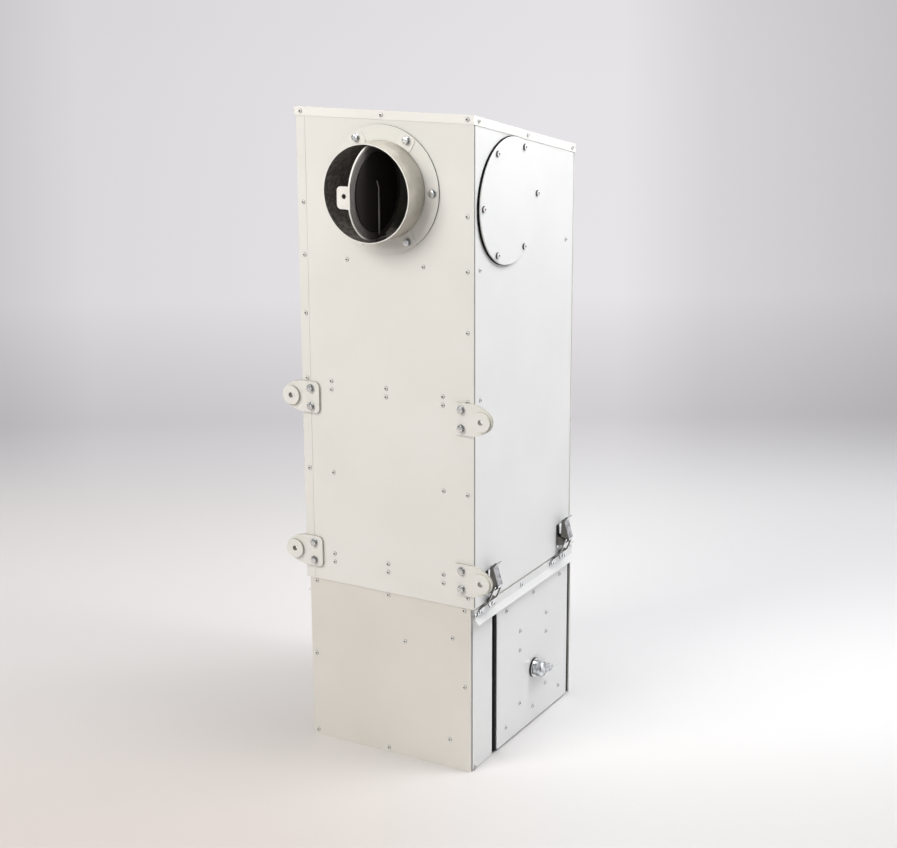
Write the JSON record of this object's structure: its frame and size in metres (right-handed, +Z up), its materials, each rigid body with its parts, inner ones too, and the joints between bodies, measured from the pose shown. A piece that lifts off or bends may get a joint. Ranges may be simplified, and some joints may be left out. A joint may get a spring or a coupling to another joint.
{
  "type": "air handling unit",
  "caption": "Tall sheet metal air handling unit: duct spigot with a butterfly damper, sloping roof, lugs, and a service box held by toggle latches.",
  "frame": {"origin": "centre of the lower box's base on the floor plane", "axes": "+Z up the housing, -Y out of the front face with the duct spigot, +X out of the side with the service door"},
  "size_m": [0.362, 0.439, 1],
  "materials": {
    "housing_paint": "satin",
    "cap_paint": "satin",
    "duct_paint": "satin",
    "lug_paint": "satin",
    "recess_paint": "matte",
    "grey_felt": "matte",
    "zinc_hardware": "zinc plated",
    "chrome_plate": "polished",
    "black_rubber": "matte"
  },
  "bodies": {
    "housing": {"left_side_panel": "housing_paint", "right_side_panel": "housing_paint", "front_panel": "housing_paint", "back_panel": "housing_paint", "top_cap": "cap_paint", "seam_frame": "housing_paint", "spigot_flange": "housing_paint", "spigot_tube": "duct_paint", "blanking_gasket": "black_rubber", "blanking_plate": "housing_paint", "left_lower_lug": "lug_paint", "left_upper_lug": "lug_paint", "right_lower_lug": "lug_paint", "right_upper_lug": "lug_paint", "lower_front": "housing_paint", "lower_back": "housing_paint", "lower_left_side": "housing_paint", "service_wall": "recess_paint", "service_trim": "housing_paint", "lower_floor": "housing_paint", "door_seal": "black_rubber", "left_rail": "housing_paint", "right_rail": "housing_paint", "left_front_latch_base": "chrome_plate", "left_front_latch_lever": "chrome_plate", "left_front_latch_bail": "chrome_plate", "left_front_latch_strike": "chrome_plate", "left_rear_latch_base": "chrome_plate", "left_rear_latch_lever": "chrome_plate", "left_rear_latch_bail": "chrome_plate", "left_rear_latch_strike": "chrome_plate", "right_front_latch_base": "chrome_plate", "right_front_latch_strike": "chrome_plate", "right_rear_latch_base": "chrome_plate", "right_rear_latch_strike": "chrome_plate"},
    "service_door": {"access_door": "housing_paint", "handle_rose": "chrome_plate"},
    "door_handle": {"turn_handle": "chrome_plate"},
    "damper": {"damper_blade": "duct_paint", "blade_seal": "grey_felt", "clamp_disc": "black_rubber", "damper_rod": "zinc_hardware"},
    "front_latch_lever": {"right_front_latch_lever": "chrome_plate"},
    "front_latch_bail": {"right_front_latch_bail": "chrome_plate"},
    "rear_latch_lever": {"right_rear_latch_lever": "chrome_plate"},
    "rear_latch_bail": {"right_rear_latch_bail": "chrome_plate"}
  },
  "joints": [
    {"name": "front_lever_hinge", "type": "hinge", "parent": "housing", "child": "front_latch_lever", "pos_m": [0.1585, -0.128, 0.2893], "axis": [0, 1, 0], "range_deg": [0, 105]},
    {"name": "front_bail_hinge", "type": "hinge", "parent": "front_latch_lever", "child": "front_latch_bail", "pos_m": [0.1655, -0.128, 0.2943], "axis": [0, 1, 0], "range_deg": [-158, 0]},
    {"name": "rear_lever_hinge", "type": "hinge", "parent": "housing", "child": "rear_latch_lever", "pos_m": [0.1585, 0.1167, 0.2893], "axis": [0, 1, 0], "range_deg": [0, 105]},
    {"name": "rear_bail_hinge", "type": "hinge", "parent": "rear_latch_lever", "child": "rear_latch_bail", "pos_m": [0.1655, 0.1167, 0.2943], "axis": [0, 1, 0], "range_deg": [-158, 0]},
    {"name": "door_lift_off", "type": "slide", "parent": "housing", "child": "service_door", "axis": [1, 0, 0], "range_m": [0, 0.06]},
    {"name": "handle_turn", "type": "hinge", "parent": "service_door", "child": "door_handle", "pos_m": [0.15, 0.0385, 0.095], "axis": [1, 0, 0], "range_deg": [-90, 0]},
    {"name": "damper_turn", "type": "hinge", "parent": "housing", "child": "damper", "pos_m": [0, -0.199, 0.8864], "axis": [0, 0, 1], "range_deg": [0, 90]}
  ],
  "couplings": [
    {"joint": "front_bail_hinge", "follows": "front_lever_hinge", "ratio": -1.5},
    {"joint": "rear_bail_hinge", "follows": "rear_lever_hinge", "ratio": -1.5}
  ]
}
